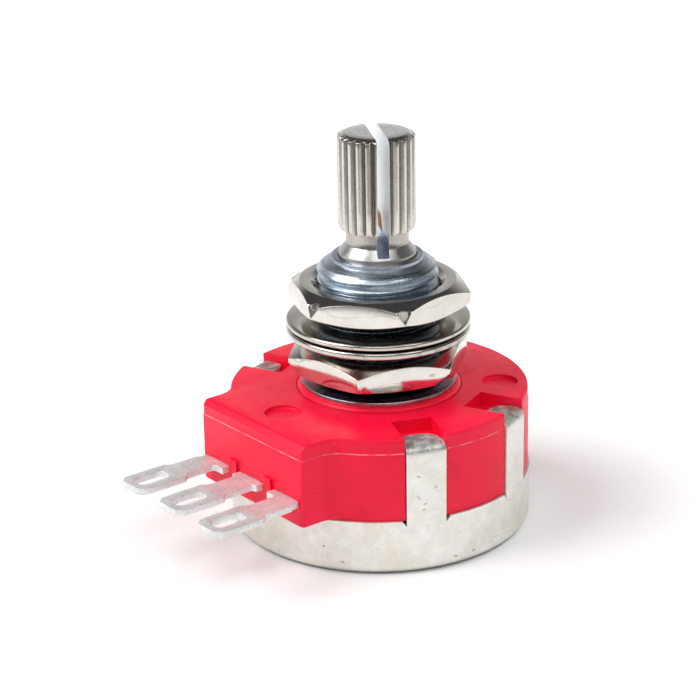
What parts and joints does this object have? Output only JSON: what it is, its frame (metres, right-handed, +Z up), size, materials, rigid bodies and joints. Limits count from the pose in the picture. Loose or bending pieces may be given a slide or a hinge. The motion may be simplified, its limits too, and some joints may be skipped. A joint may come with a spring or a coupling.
{
  "type": "rotary potentiometer",
  "caption": "Round panel-mount rotary potentiometer with a split splined shaft, threaded bushing with nuts and washers, solder lugs and a tabbed metal rear can.",
  "frame": {"origin": "centre of the can's flat base, on the shaft's axis", "axes": "+Z up the shaft from the can to the splined end, -Y towards the solder lugs, +X to the right seen from the lugs' side with the shaft up"},
  "size_m": [0.0237, 0.0322, 0.0312],
  "materials": {
    "tin_plate": "matte tin plate with small stains",
    "red_plastic": "satin moulded red",
    "zinc_plate": "bright zinc plate, slightly blue",
    "bright_nickel": "bright nickel plate",
    "tinned_lug": "satin tin plate",
    "rivet_brass": "plain",
    "phenolic": "brown laminate",
    "carbon_film": "matte printed film",
    "silver_film": "printed silver",
    "pale_plastic": "plain",
    "shaft_steel": "satin grey with brighter edges",
    "spring_bronze": "rolled sheet",
    "dark_plastic": "plain",
    "inner_steel": "plain"
  },
  "bodies": {
    "base": {"can": "tin_plate", "housing": "red_plastic", "terminal_base": "red_plastic", "bushing": "zinc_plate", "backing_washer": "inner_steel", "lower_nut": "bright_nickel", "lock_washer": "bright_nickel", "flat_washer": "bright_nickel", "upper_nut": "bright_nickel", "terminal_left": "tinned_lug", "terminal_wiper": "tinned_lug", "terminal_right": "tinned_lug", "rivet_left": "rivet_brass", "rivet_wiper": "rivet_brass", "rivet_right": "rivet_brass", "element_wafer": "phenolic", "resistive_track": "carbon_film", "end_pad_left": "silver_film", "end_pad_right": "silver_film", "collector_ring": "silver_film", "thrust_pad": "pale_plastic", "friction_washer": "spring_bronze"},
    "spindle": {"shaft": "shaft_steel", "rotor": "dark_plastic", "wiper": "spring_bronze", "retaining_ring": "inner_steel"}
  },
  "joints": [
    {"name": "shaft_turn", "type": "hinge", "parent": "base", "child": "spindle", "pos_m": [0, 0, 0.015], "axis": [0, 0, 1], "range_deg": [-120, 180]}
  ]
}
